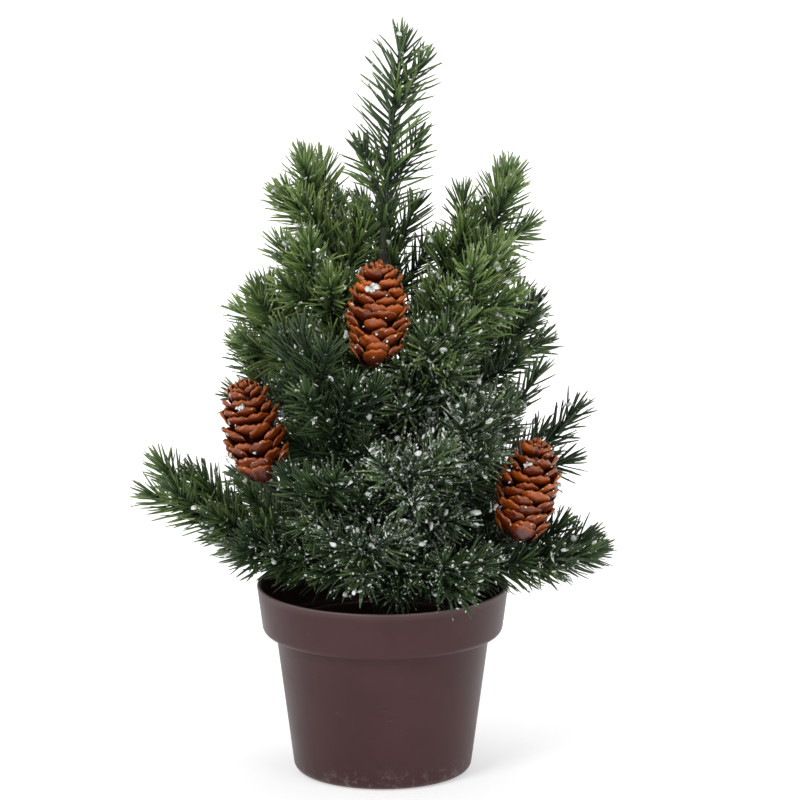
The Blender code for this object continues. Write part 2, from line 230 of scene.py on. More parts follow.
class Nodes:
    """A material's node tree, with a short way to add and link nodes.

    Each mesh carries three numbers a point, its marks. Needles: tone from dark to fresh, place from
    foot to tip, which also paints shade at the foot, and frost. Cone scales: tone, place from root to
    lip, which paints shade at the root, and closeness to the edge, which paints a highlight and flock.
    Tape: how far across the tape, which paints shade at its covered edge. Pot: the third is its lip,
    painted paler as a highlight.
    """

    def __init__(self, name):
        self.material = bpy.data.materials.new(name)
        self.material.use_nodes = True
        self.tree = self.material.node_tree
        self.shader = self.tree.nodes["Principled BSDF"]
        self.object = self.add("TexCoord").outputs["Object"]

    def add(self, kind, **settings):
        node = self.tree.nodes.new("ShaderNode" + kind)
        for key, value in settings.items():
            if hasattr(node, key):
                setattr(node, key, value)
            else:
                node.inputs[key.replace("_", " ")].default_value = value
        return node

    def link(self, a, b):
        self.tree.links.new(a, b)

    def noise(self, scale, detail=4.0, roughness=0.6, vector=None):
        node = self.add("TexNoise")
        node.inputs["Scale"].default_value = scale
        node.inputs["Detail"].default_value = detail
        node.inputs["Roughness"].default_value = roughness
        self.link(vector or self.object, node.inputs["Vector"])
        return node.outputs["Fac"]

    def range(self, value, low, high, out_low=0.0, out_high=1.0):
        """A smooth step from out_low, where value is low, to out_high, where it is high."""
        node = self.add("MapRange", interpolation_type="SMOOTHSTEP")
        for k, number in ((1, low), (2, high), (3, out_low), (4, out_high)):
            node.inputs[k].default_value = number
        self.link(value, node.inputs[0])
        return node.outputs[0]

    def math(self, kind, a, b):
        node = self.add("Math", operation=kind)
        for k, x in enumerate((a, b)):
            if isinstance(x, (int, float)):
                node.inputs[k].default_value = x
            else:
                self.link(x, node.inputs[k])
        return node.outputs[0]

    def mix(self, factor, a, b):
        """The colour a, or b where factor is 1. Each may be a socket or a value."""
        node = self.add("Mix", data_type="RGBA")
        for socket, x in ((node.inputs[0], factor), (node.inputs[6], a), (node.inputs[7], b)):
            if isinstance(x, tuple):
                socket.default_value = (*x, 1)
            elif isinstance(x, (int, float)):
                socket.default_value = x
            else:
                self.link(x, socket)
        return node.outputs[2]

    def marks(self):
        node = self.add("Attribute", attribute_name="marks")
        split = self.add("SeparateXYZ")
        self.link(node.outputs["Vector"], split.inputs[0])
        return split.outputs

    def bump(self, height, strength, distance):
        node = self.add("Bump")
        node.inputs["Strength"].default_value = strength
        node.inputs["Distance"].default_value = distance
        self.link(height, node.inputs["Height"])
        self.link(node.outputs[0], self.shader.inputs["Normal"])

    def paint(self, color, roughness=None):
        self.link(color, self.shader.inputs["Base Color"])
        if roughness is not None:
            self.link(roughness, self.shader.inputs["Roughness"])

    def set(self, **values):
        for key, value in values.items():
            self.shader.inputs[key.replace("_", " ")].default_value = value


def srgb(r, g, b):
    """A linear colour from one on a scale of 255."""
    parts = [c / 255 for c in (r, g, b)]
    return tuple(c / 12.92 if c <= 0.04045 else ((c + 0.055) / 1.055) ** 2.4 for c in parts)


def needle_material():
    """Green plastic, with painted shade darkening a needle's foot, fresher at its tip, with a grain of
    white flock.
    """
    n = Nodes("needle_plastic")
    tone, tip, frost = n.marks()
    dark, mid = srgb(39, 61, 33), srgb(94, 122, 62)
    tone = n.math("ADD", tone, n.range(n.noise(60, 2), 0.3, 0.7, -0.25, 0.25))
    green = n.mix(n.range(tone, 0.1, 0.9), dark, mid)
    fresh = n.math("MULTIPLY", n.range(tip, 0.35, 1.0), n.range(tone, 0.45, 1.0, 0.05, 0.85))
    green = n.mix(fresh, green, srgb(148, 168, 94))
    # Painted shade: a needle darkens to near black at its foot, deep among the other needles.
    root = n.range(tip, 0.0, 0.45, 0.7, 0.0)
    green = n.mix(root, green, srgb(20, 32, 16))
    grain = n.noise(1500, 3, 0.75)
    patch = n.noise(230, 3, 0.6)
    cover = n.math("ADD", n.math("MULTIPLY", grain, 0.5), n.math("MULTIPLY", patch, 0.5))
    edge = n.math("SUBTRACT", 0.73, n.math("MULTIPLY", frost, 0.22))
    over = n.math("SUBTRACT", cover, edge)
    white = n.range(over, 0.0, 0.07)
    haze = n.math("MULTIPLY", n.range(patch, 0.35, 0.7), n.math("MULTIPLY", frost, 0.20))
    color = n.mix(haze, green, srgb(128, 142, 122))
    color = n.mix(white, color, srgb(224, 229, 224))
    rough = n.math("ADD", n.math("MULTIPLY", white, 0.4), n.range(grain, 0.3, 0.7, 0.34, 0.5))
    n.paint(color, rough)
    n.bump(n.math("ADD", white, n.math("MULTIPLY", grain, 0.3)), 0.35, 0.0002)
    n.set(Specular_IOR_Level=0.5)
    return n.material


def flock_material():
    """Matt white flock with a fine grey grain."""
    n = Nodes("snow_flock")
    grain = n.noise(2200, 4, 0.7)
    patch = n.noise(300, 2)
    color = n.mix(n.range(patch, 0.3, 0.7), srgb(206, 212, 206), srgb(243, 245, 243))
    color = n.mix(n.range(grain, 0.35, 0.6, 0.45, 0.0), color, srgb(150, 160, 150))
    n.paint(color, n.range(grain, 0.3, 0.7, 0.6, 0.85))
    n.bump(grain, 0.6, 0.0003)
    return n.material


def cone_material():
    """Glossy orange-brown plastic, with painted shade between the scales and a painted highlight on
    their lips, which are also dusted with flock.
    """
    n = Nodes("cone_plastic")
    tone, tip, edge = n.marks()
    base = n.mix(n.range(tone, 0, 1), srgb(106, 36, 3), srgb(190, 88, 8))
    base = n.mix(n.range(n.noise(190, 3), 0.40, 0.75), base, srgb(92, 28, 4))
    # Painted shade: each scale darkens towards its root, where it lies in the shade of the scales
    # around it.
    base = n.mix(n.range(tip, 0.42, 0.96, 0.95, 0.0), base, srgb(56, 14, 4))
    # Painted highlight: the lips and side edges of the scales are painted paler.
    base = n.mix(n.range(edge, 0.4, 1.0, 0.0, 0.5), base, srgb(200, 112, 44))
    frost = n.math("MULTIPLY", n.range(n.noise(620, 4, 0.7), 0.60, 0.67), n.range(edge, 0.1, 0.9))
    base = n.mix(n.math("MULTIPLY", frost, 0.8), base, srgb(244, 222, 208))
    n.paint(base, n.range(n.noise(420, 3), 0.3, 0.7, 0.16, 0.36))
    n.bump(n.noise(420, 3), 0.35, 0.0003)
    n.set(Coat_Weight=0.45, Coat_Roughness=0.08, Specular_IOR_Level=0.35)
    return n.material


def tape_material(name, light, dark):
    """Fibrous paper tape, with painted shade where one turn goes under the next."""
    n = Nodes(name)
    wind, _, _ = n.marks()
    fibre = n.noise(900, 4, 0.7)
    color = n.mix(n.range(fibre, 0.3, 0.7), dark, light)
    # Painted shade: near black along the covered edge of each turn, in the crease of the step.
    color = n.mix(n.range(wind, 0.0, 0.35, 0.7, 0.0), color, srgb(14, 16, 9))
    n.paint(color, n.range(fibre, 0.3, 0.7, 0.62, 0.85))
    n.bump(fibre, 0.5, 0.0002)
    return n.material


def pot_material():
    """Dull aubergine plastic with faint clouds, scuffs round the body, wear at the foot and a painted
    highlight along the lip.
    """
    n = Nodes("pot_plastic")
    cloud = n.noise(28, 4)
    grain = n.noise(1600, 3, 0.6)
    color = n.mix(n.range(cloud, 0.3, 0.7), srgb(62, 36, 38), srgb(70, 43, 45))
    split = n.add("SeparateXYZ")
    n.link(n.object, split.inputs[0])
    stretch = n.add("Mapping")
    n.link(n.object, stretch.inputs["Vector"])
    stretch.inputs["Scale"].default_value = (1.0, 1.0, 9.0)
    scratch = n.noise(170, 6, 0.72, stretch.outputs[0])
    scuffs = n.math("MULTIPLY", n.range(scratch, 0.62, 0.74), n.range(n.noise(45, 2), 0.45, 0.65))
    foot = n.range(split.outputs[2], 0.0, 0.012, 0.30, 0.0)
    wear_and_lip_highlight = n.math("MULTIPLY", n.range(n.noise(240, 4, 0.7), 0.5, 0.66), foot)
    _, _, lip = n.marks()
    wear_and_lip_highlight = n.math("MAXIMUM", wear_and_lip_highlight, n.math("MULTIPLY", scuffs, 0.18))
    # Painted highlight: the top of the lip is painted paler all round.
    wear_and_lip_highlight = n.math("MAXIMUM", wear_and_lip_highlight, n.math("MULTIPLY", lip, 0.45))
    color = n.mix(wear_and_lip_highlight, color, srgb(150, 136, 134))
    rough = n.math("ADD", n.range(cloud, 0.3, 0.7, 0.34, 0.46), n.math("MULTIPLY", wear_and_lip_highlight, 0.2))
    n.paint(color, rough)
    n.bump(n.math("ADD", grain, n.math("MULTIPLY", scuffs, 0.8)), 0.12, 0.0002)
    n.set(Specular_IOR_Level=0.22)
    return n.material


def plaster_material():
    """Grey-brown cast plaster with lumps, and pits darkened with painted shade."""
    n = Nodes("plaster")
    lumps = n.noise(180, 6, 0.65)
    pits = n.noise(900, 3)
    color = n.mix(n.range(lumps, 0.3, 0.7), srgb(92, 80, 68), srgb(140, 126, 110))
    # Painted shade: the pits are darkened where the bump sinks.
    color = n.mix(n.range(pits, 0.3, 0.42, 0.6, 0.0), color, srgb(56, 48, 42))
    n.paint(color, n.range(pits, 0.3, 0.7, 0.8, 0.95))
    n.bump(n.math("ADD", lumps, n.math("MULTIPLY", pits, 0.4)), 0.8, 0.0012)
    return n.material


def steel_material():
    """Drawn steel, streaked along its length."""
    n = Nodes("steel_rod")
    stretch = n.add("Mapping")
    n.link(n.object, stretch.inputs["Vector"])
    stretch.inputs["Scale"].default_value = (1.0, 1.0, 0.04)
    drawn = n.noise(2600, 4, 0.6, stretch.outputs[0])
    color = n.mix(n.range(drawn, 0.3, 0.7), (0.28, 0.27, 0.26), (0.50, 0.49, 0.47))
    n.paint(color, n.range(drawn, 0.3, 0.7, 0.28, 0.5))
    n.bump(drawn, 0.2, 0.0001)
    n.set(Metallic=1.0)
    return n.material


NEEDLES, FLOCK, CONE = needle_material(), flock_material(), cone_material()
TRUNK_TAPE = tape_material("trunk_tape", srgb(54, 54, 38), srgb(30, 32, 21))
WIRE_TAPE = tape_material("wire_tape", srgb(62, 70, 42), srgb(34, 42, 24))
POT, PLASTER, STEEL = pot_material(), plaster_material(), steel_material()


# ---------------------------------------------------------------- the tree's places


def end_of(points, start):
    """The middle of the far end of a set of points, seen from start."""
    far = np.linalg.norm(points - start, axis=1)
    return points[far > far.max() - 0.4 * MM].mean(0)


def route_of(joint, wire, sprig):
    """The path of a branch: from its bending point, by its wire's end, to its sprig's tip."""
    start = np.array(joint["pos_m"])
    tip = end_of(node_points(sprig), start)
    chord = tip - start
    knee = end_of(node_points(wire), start)
    t = float((knee - start) @ chord / (chord @ chord))
    shift = (knee - start - chord * t) / (2 * t * (1 - t))
    return Line(bezier(start, shift, tip)), float(np.linalg.norm(knee - start))


JOINTS = {j["child"]: j for j in frame["joints"]}


# ---------------------------------------------------------------- sprigs

NEEDLE_RADIUS = 0.62 * MM
NEEDLE_PITCH = 0.54 * MM
TWIG_THICK, TWIG_THIN = 0.95 * MM, 0.55 * MM  # a side tip's stem at its foot and its end
TWIG_BARE = 3.5 * MM  # the side tip's first needles stand this far from its foot
FLAKE_ROUNDS, FLAKE_SHARE = 5, 0.85  # how often each needle may get a flake, and how likely
FLAKE_SIZE, FLAKE_SPREAD, FLAKE_MOST = 0.28, 0.68, 1.7  # a flake's half width in mm, lognormal


# Where flock lies thick, in mm: middle x and z, half width and height, side (-1 front, 1 back),
# depth from which it starts, and strength.
SNOW_PATCHES = (
    (22, 150, 42, 52, -1, -30, 1.0),
    (4, 118, 40, 22, -1, -20, 1.0),
    (-10, 150, 45, 50, 1, -20, 0.8),
)
SNOW_EVERYWHERE = 0.30


def snow_level(places):
    """How thickly the flock lies at places, from 0 to 1: most at the front, right of the middle."""
    x, y, z = places.T / MM
    levels = [
        np.exp(-(((x - mid_x) / wide) ** 2 + ((z - mid_z) / high) ** 2))
        * smooth(y * side, first, 30)
        * strength
        for mid_x, mid_z, wide, high, side, first, strength in SNOW_PATCHES
    ]
    return np.clip(SNOW_EVERYWHERE + (1 - SNOW_EVERYWHERE) * np.max(levels, axis=0), 0, 1)


class Sprig:
    """One moulded sprig: stem, needles and flock, all on one body."""

    def __init__(self, name, seed, greens, snow, needle=20 * MM, thick=1.0):
        self.name, self.rng = name, np.random.default_rng(seed)
        self.foliage, self.flock = Batch(), Batch()
        self.greens, self.snow, self.needle, self.thick = greens, snow, needle, thick

    def stem(self, line, start, end, thick, thin):
        tone = self.greens[0] * 0.4
        # The place mark of 0.2 gives the stem part of the needles' painted shade at their feet.
        add_tube(self.foliage, line, start, end, (thick, thin), 8, (tone, 0.2, 0.1))

    def dress(
        self, line, start, end, size=1.0, density=1.0, tuft=9, opening=(50, 29), hook=0.03, spread=0.0
    ):
        """Needles all round a stem from start to end, swept forward, and a tuft on its tip.

        opening gives their angle to the stem at its foot and its tip, hook bends them outward, and
        spread parts them to two sides, as in a flattened frond.
        """
        rng, length = self.rng, end - start
        n = max(int(length / NEEDLE_PITCH * density), 6)
        share = np.clip((np.arange(n) + rng.uniform(-0.4, 0.4, n)) / n, 0, 1)
        turn = np.arange(n) * GOLDEN_TURN + rng.normal(0, 0.35, n)
        turn = turn + spread * np.sin(2 * turn)
        wide, narrow = opening
        open_angle = np.radians(wide + (narrow - wide) * share**1.5 + rng.normal(0, 6, n))
        fullness = 1.0 - 0.30 * share**2.0 - 0.15 * (1 - share) ** 4
        reach = self.needle * size * fullness * rng.uniform(0.84, 1.08, n)
        share = np.concatenate([share, np.ones(tuft)])
        turn = np.concatenate([turn, np.arange(tuft) * GOLDEN_TURN * 1.7])
        open_angle = np.concatenate([open_angle, np.radians(rng.uniform(4, 28, tuft))])
        reach = np.concatenate([reach, self.needle * size * rng.uniform(0.5, 0.72, tuft)])
        place, along, side, over = line.at(start + length * share)
        out = side * np.cos(turn)[:, None] + over * np.sin(turn)[:, None]
        ahead = along * np.cos(open_angle)[:, None] + out * np.sin(open_angle)[:, None]
        total = len(share)
        curl = along * rng.normal(0.06, 0.09, total)[:, None] + rng.normal(0, 0.035, (total, 3))
        curl += out * hook
        curl -= ahead * np.sum(curl * ahead, 1)[:, None]
        base = place + out * 0.4 * MM
        thick = NEEDLE_RADIUS * self.thick * rng.uniform(0.85, 1.15, total)
        tone = np.clip(rng.normal(np.mean(self.greens), 0.20, total), 0, 1)
        tone = self.greens[0] + (self.greens[1] - self.greens[0]) * tone
        level = snow_level(place) * self.snow
        frost = np.clip(level * rng.uniform(0.3, 1.3, total), 0, 1)
        centre, lift = add_needles(
            self.foliage, base, ahead, curl, reach, thick, np.stack([tone, frost], 1)
        )
        self.sprinkle(centre, lift, thick, level)

    def sprinkle(self, centre, lift, thick, level):
        """Flock flakes stuck on the needles, mostly on their upper sides."""
        rng = self.rng
        n = len(centre)
        rounds = [np.nonzero(rng.random(n) < FLAKE_SHARE * level)[0] for _ in range(FLAKE_ROUNDS)]
        picks = np.concatenate(rounds)
        if not len(picks):
            return
        station = rng.choice([1, 2, 3, 4], len(picks), p=(0.15, 0.3, 0.3, 0.25))
        spot = centre[picks, station]
        facing = lift[picks, station]
        facing = facing * np.sign(facing[:, 2:3] + 0.25 - 0.4 * facing[:, 1:2] + 1e-6)
        spot = spot + facing * (thick[picks] * 0.55)[:, None]
        size = FLAKE_SIZE * rng.lognormal(0, FLAKE_SPREAD, len(picks))
        size = np.minimum(size, FLAKE_MOST) * MM
        add_flakes(self.flock, spot, facing, size, rng)

    def twig(self, line, where, swing, lift, length, **dress):
        """A side tip from a stem at where, swung sideways and lifted by angles in degrees."""
        place, along, side, over = (x[0] for x in line.at(np.array([where])))
        a, b = math.radians(swing), math.radians(lift)
        level = along * math.cos(a) * math.cos(b) + side * math.sin(a) * math.cos(b)
        ahead = unit(level + over * math.sin(b))
        tip = place + ahead * length
        bow = (along * 0.16 + UP * 0.05) * length
        path = Line(bezier(place, -bow * 0.5, tip + bow * 0.6, 16), np.cross(ahead, UP))
        end = path.length - 1 * MM
        self.stem(path, 0, end, TWIG_THICK, TWIG_THIN)
        self.dress(path, TWIG_BARE, end, **dress)

    def make(self, body, node):
        self.foliage.make(self.name, NEEDLES, body, "needle_plastic", (node,))
        if self.flock.count:
            self.flock.make("flock_" + body, FLOCK, body)


def flake_form():
    """The corners and faces of a flake before it is squashed: an icosahedron."""
    g = (1 + 5**0.5) / 2
    corners = [(-1, g, 0), (1, g, 0), (-1, -g, 0), (1, -g, 0), (0, -1, g), (0, 1, g)]
    corners += [(0, -1, -g), (0, 1, -g), (g, 0, -1), (g, 0, 1), (-g, 0, -1), (-g, 0, 1)]
    corners = unit(np.array(corners, float))
    gaps = np.linalg.norm(corners[:, None] - corners[None], axis=-1)
    near = gaps < 1.2
    faces = []
    for a in range(12):
        for b in range(a + 1, 12):
            for c in range(b + 1, 12):
                if near[a, b] and near[b, c] and near[a, c]:
                    normal = np.cross(corners[b] - corners[a], corners[c] - corners[a])
                    faces.append((a, b, c) if normal @ corners[a] > 0 else (a, c, b))
    return corners, np.array(faces)


FLAKE_CORNERS, FLAKE_FACES = flake_form()


def add_flakes(batch, places, facing, size, rng):
    """Flat, ragged flakes: each lies square to facing and is size across its half width."""
    n = len(places)
    form = FLAKE_CORNERS[None] * rng.uniform(0.6, 1.35, (n, 12, 1))
    facing = unit(facing + rng.normal(0, 0.35, (n, 3)))
    side = unit(np.cross(facing, rng.normal(0, 1, (n, 3))))
    over = np.cross(facing, side)
    stretch = rng.uniform(0.7, 1.7, (n, 1))
    local = (
        form[..., :1] * (side * stretch)[:, None]
        + form[..., 1:2] * over[:, None]
        + form[..., 2:] * facing[:, None] * 0.38
    )
    points = places[:, None] + local * size[:, None, None]
    shift = (np.arange(n) * 12)[:, None, None]
    batch.add(points.reshape(-1, 3), [], (FLAKE_FACES + shift).reshape(-1, 3), np.zeros(3))


TAPE_SIDES = 14
TAPE_STEP = 0.35 * MM  # along the wire, fine enough to show the tape's edge
TAPE_RISE = 0.16  # the step at the tape's edge, as a share of the radius


def taped(name, line, start, end, radii, body, slot, material, node, pitch=2.4 * MM):
    """A wire or trunk wound in tape, which stands for a CAD node."""

    def wind(distance, turn):
        """How far across the tape a point lies, from 0 at its covered edge to 1."""
        return (distance / pitch + turn / (2 * math.pi)) % 1.0

    def relief(distance, turn):
        return radii[0] * (TAPE_RISE * wind(distance, turn) - TAPE_RISE / 2)

    batch = Batch()
    rows = max(int((end - start) / TAPE_STEP), 8)
    add_tube(batch, line, start, end, radii, TAPE_SIDES, (1, 0, 0), rows, relief)
    distance = np.linspace(start, end, rows)[:, None]
    turn = (np.arange(TAPE_SIDES) * 2 * math.pi / TAPE_SIDES)[None]
    marks = np.zeros((batch.count, 3))
    marks[: rows * TAPE_SIDES, 0] = wind(distance, turn).ravel()
    batch.marks = [marks]
    batch.make(name, material, body, slot, (node,))


# Each branch: its range of greens from dark 0 to fresh 1, and how much snow it carries.
# The ranges are lighter for the top branches and those on the left, and darker lower down, on the
# right and at the back: painted light and shade, within which each needle's tone differs at random.
LOOKS = {
    "top_left": ((0.5, 1.0), 0.9),
    "top_right": ((0.35, 0.85), 0.5),
    "top_back": ((0.2, 0.7), 0.4),
    "crown_front_left": ((0.35, 0.95), 0.9),
    "crown_front_right": ((0.35, 0.95), 1.0),
    "upper_left": ((0.35, 0.9), 0.5),
    "upper_right": ((0.2, 0.7), 0.9),
    "upper_front": ((0.2, 0.7), 1.0),
    "upper_back_right": ((0.1, 0.6), 0.7),
    "upper_back_left": ((0.1, 0.6), 0.7),
    "middle_left": ((0.3, 0.8), 0.5),
    "middle_right": ((0.1, 0.5), 1.0),
    "middle_front_left": ((0.1, 0.5), 0.5),
    "middle_front_right": ((0.1, 0.55), 1.0),
    "middle_front": ((0.15, 0.6), 1.0),
    "lower_right": ((0.1, 0.55), 0.9),
    "lower_front_left": ((0.1, 0.5), 0.7),
    "lower_front": ((0.1, 0.5), 0.9),
    "lower_front_right": ((0.1, 0.5), 0.9),
    "lower_back_right": ((0.1, 0.55), 0.7),
    "lower_back_left": ((0.1, 0.55), 0.7),
    "bottom_left": ((0.25, 0.8), 0.6),
    "bottom_front_left": ((0.1, 0.5), 0.7),
    "bottom_right": ((0.1, 0.55), 0.8),
}
# Side tips: share along the branch, sideways swing and lift in degrees, length in mm.
SIDE_TIPS = (
    (0.13, 62, 8, 24), (0.17, -62, 8, 24), (0.24, 48, -14, 28), (0.28, -48, -14, 28),
    (0.33, 8, 44, 24), (0.40, 40, 8, 28), (0.46, -40, 8, 28), (0.55, -6, -34, 22),
    (0.62, 34, 8, 24), (0.68, -34, 8, 22),
)
RAISED = ("bottom_left", "bottom_front_left", "bottom_right")  # none of their tips hang down
EXTRA_TIPS = {
    "bottom_left": ((0.52, 6, 34, 30), (0.72, -4, 30, 26)),
    "bottom_front_left": ((0.5, -20, 20, 30), (0.66, 24, 12, 26)),
    "bottom_right": ((0.50, 20, 4, 26), (0.62, -26, 0, 28)),
    "top_left": ((0.35, 4, 34, 26), (0.5, -30, -10, 24)),
    "top_right": ((0.30, 10, 24, 30), (0.50, -10, 30, 24)),
    "upper_left": ((0.45, 0, 24, 28), (0.6, 14, -16, 24)),
    "upper_front": ((0.40, 80, 16, 27),),
    "middle_front_left": ((0.45, -62, 16, 26),),
}
FULLNESS = {"middle_right": 0.5, "lower_right": 0.8}  # the others are 1
TIP_JITTER = 5  # degrees
# mm from a stem's end to its line's
TIP_GAP = 9.5
TIP_GAPS = {"lower_back_left": 15, "lower_front": 11, "middle_front": 11}
FOOT_SHIFT = 9 * MM  # the sprig's foot lies this far before its wire's end
STEM_THICK, STEM_THIN = 1.45 * MM, 0.7 * MM
BRANCH_BARE = 9 * MM  # a branch's first needles stand this far from the trunk's middle
USUAL_BRANCH = 80 * MM  # a branch of this length has side tips of the lengths above


def build_wire(wire, line, foot, radius, body):
    """The taped wire of a sprig, from the trunk to just inside the sprig's foot."""
    name, end = "taped_" + wire, foot + 1 * MM
    taped(name, line, 0, end, (radius,) * 2, body, "wire_tape", WIRE_TAPE, wire)


def build_branches():
    """Each branch: its stem, its own needles, its side tips and its taped wire, all on one body."""
    for seed, (name, (greens, snow)) in enumerate(LOOKS.items()):
        body = "branch_" + name
        wire, node = "wire_" + name, "sprig_" + name
        line, knee = route_of(JOINTS[body], wire, node)
        foot = max(knee - FOOT_SHIFT, 0)
        sprig = Sprig("needles_" + name, 100 + seed, greens, snow)
        end = line.length - TIP_GAPS.get(name, TIP_GAP) * MM
        full = FULLNESS.get(name, 1.0)
        sprig.stem(line, foot, end, STEM_THICK, STEM_THIN)
        sprig.dress(line, BRANCH_BARE, end, density=full)
        tips = SIDE_TIPS[: round(len(SIDE_TIPS) * full)] + EXTRA_TIPS.get(name, ())
        for share, swing, lift, length in tips:
            lift = abs(lift) if name in RAISED else lift
            swing, lift = (np.array((swing, lift)) + sprig.rng.normal(0, TIP_JITTER, 2)).tolist()
            growth = min(line.length / USUAL_BRANCH, 1.1)
            length = length * MM * growth * sprig.rng.uniform(0.85, 1.05)
            sprig.twig(line, share * line.length, swing, lift, length, size=0.88, density=full)
        sprig.make(body, node)
        build_wire(wire, line, foot, 1.2 * MM, body)


# The leader's small side tips: mm back from its end, swing and lift in degrees, length in mm.
LEADER_TIPS = ((80, 8, 32, 22), (76, -8, -32, 22), (42, 4, -26, 22))
LEADER_NEEDLE = 24 * MM
LEADER_GAP = 17 * MM  # from the stem's end to the sprig's, which its tuft fills
LEADER_DRESS = {"density": 0.95, "tuft": 18, "opening": (56, 44), "hook": 0.10, "spread": 0.15}


def build_leader():
    """One long sprig, open enough to see through, whose needles stand off and hook outward."""
    line, knee = route_of(JOINTS["leader"], "leader_wire", "leader_sprig")
    foot = knee - FOOT_SHIFT
    sprig = Sprig("needles_leader", 77, (0.22, 0.72), 0.9, LEADER_NEEDLE, 1.12)
    end = line.length - LEADER_GAP
    sprig.stem(line, foot, end, 1.5 * MM, 0.7 * MM)
    sprig.dress(line, foot + 2 * MM, end, **LEADER_DRESS)
    for back, swing, lift, length in LEADER_TIPS:
        start = line.length - back * MM
        sprig.twig(line, start, swing, lift, length * MM, size=0.7, density=0.6, tuft=6)
    sprig.make("leader", "leader_sprig")
    build_wire("leader_wire", line, foot, 1.5 * MM, "leader")


# ---------------------------------------------------------------- cones

SCALE_ACROSS, SCALE_ALONG = 13, 12
CONE_ROWS, CONE_SCALES = 11, 6
CONE_FRONT = math.pi / 2  # from a cone's first side direction to the one that faces the front
SCALE_WIDTH, SCALE_LENGTH, SCALE_SHORTER = 13.5, 8.2, 1.2  # mm; the upper scales are shorter


def add_scale(batch, foot, sides, turn, height, outer, width, length, tone, flare, tilt):
    """One cone scale: a broad cupped tongue that leaves the core, rises and flares to a wavy lip."""
    side, over, axis = sides
    u = np.linspace(-1, 1, SCALE_ACROSS)[None, :]
    v = np.linspace(0, 1, SCALE_ALONG)[:, None] ** 0.8
    lip = smooth(v, 0.6, 1.0)
    square_end = (1 - np.clip((v - 0.72) / 0.28, 0, 1) ** 2.6 * 0.62) ** 0.5
    half = width / 2 * (0.60 + 0.40 * smooth(v, 0, 0.5)) * square_end
    radial = outer * (0.42 + 0.50 * np.sin(v * math.pi / 2) ** 0.8) + flare * v**3
    radial = radial - 0.7 * MM * u**2 * v + 0.26 * MM * np.sin(5.0 * u + 9 * tone) * lip
    rise = height + length * v**1.25 - 0.10 * length * np.abs(u) ** 3 * v + half * u * tilt
    rise = rise + 0.30 * MM * np.sin(7.0 * u + 23 * tone) * lip
    thick = (0.34 + 0.26 * smooth(v, 0.55, 0.95)) * MM
    points = []
    for face in (1, -1):
        edge = (1 - 0.75 * np.abs(u) ** 4) * (1 - 0.35 * smooth(v, 0.93, 1))
        r = radial + face * thick * edge
        angle = turn + u * half / (outer * 0.95)
        spot = (
            foot
            + side * (r * np.cos(angle))[..., None]
            + over * (r * np.sin(angle))[..., None]
            + axis * (rise - face * 0.45 * thick * edge)[..., None]
        )
        points.append(spot.reshape(-1, 3))
    nu, nv = SCALE_ACROSS, SCALE_ALONG
    count = nu * nv
    quads = []
    for i in range(nv - 1):
        for k in range(nu - 1):
            a = i * nu + k
            quads.append((a, a + 1, a + nu + 1, a + nu))
            quads.append((count + a + nu, count + a + nu + 1, count + a + 1, count + a))
    loop = list(range(nu)) + [i * nu + nu - 1 for i in range(1, nv)]
    loop += [(nv - 1) * nu + k for k in range(nu - 2, -1, -1)] + [i * nu for i in range(nv - 2, 0, -1)]
    for a, b in zip(loop, loop[1:] + loop[:1]):
        quads.append((b, a, count + a, count + b))
    marks = np.empty((2, nv, nu, 3))
    marks[..., 0] = tone
    marks[..., 1] = v
    # The edge mark carries the cone material's painted highlight along the lip and sides, and v its
    # painted shade at the root.
    rim = smooth(np.abs(u), 0.80, 1.0) * smooth(v, 0.4, 0.7)
    marks[..., 2] = np.maximum(smooth(v, 0.86, 1.0), rim)
    batch.add(np.concatenate(points), quads, [], marks.reshape(-1, 3))


# The left cone's lower value darkens it as painted shade from the foliage around it; within each cone
# the scales' tone differs at random.
CONE_TONE_AND_SHADE = {"middle": 1.0, "left": 0.4, "right": 0.9}  # the lightest scale of each, up to 1
CONE_SHARES = (0, 0.06, 0.2, 0.42, 0.65, 0.85, 1.0)
CONE_WIDTHS = (0.34, 0.58, 0.86, 1.0, 0.95, 0.74, 0.42)
# The small scales that close its top: height as a share, radius as a share, how many, width in mm.
CONE_TOP = ((0.84, 0.44, 5, 8.0), (0.87, 0.26, 4, 5.5), (0.89, 0.11, 3, 3.2))
TOP_LENGTH = 5.4 * MM
CORE_WIDE, CORE_TALL = 0.50, 0.93  # the core under the scales, as shares of the cone
# Loose flakes on a cone, and its clumps: height as a share, and turn from the front in radians.
CONE_FLAKES, CLUMP_FLAKES = 40, 9
CONE_CLUMPS = ((0.74, -0.35), (0.9, 0.5), (0.55, -1.1), (0.3, 1.9), (0.8, 2.9))


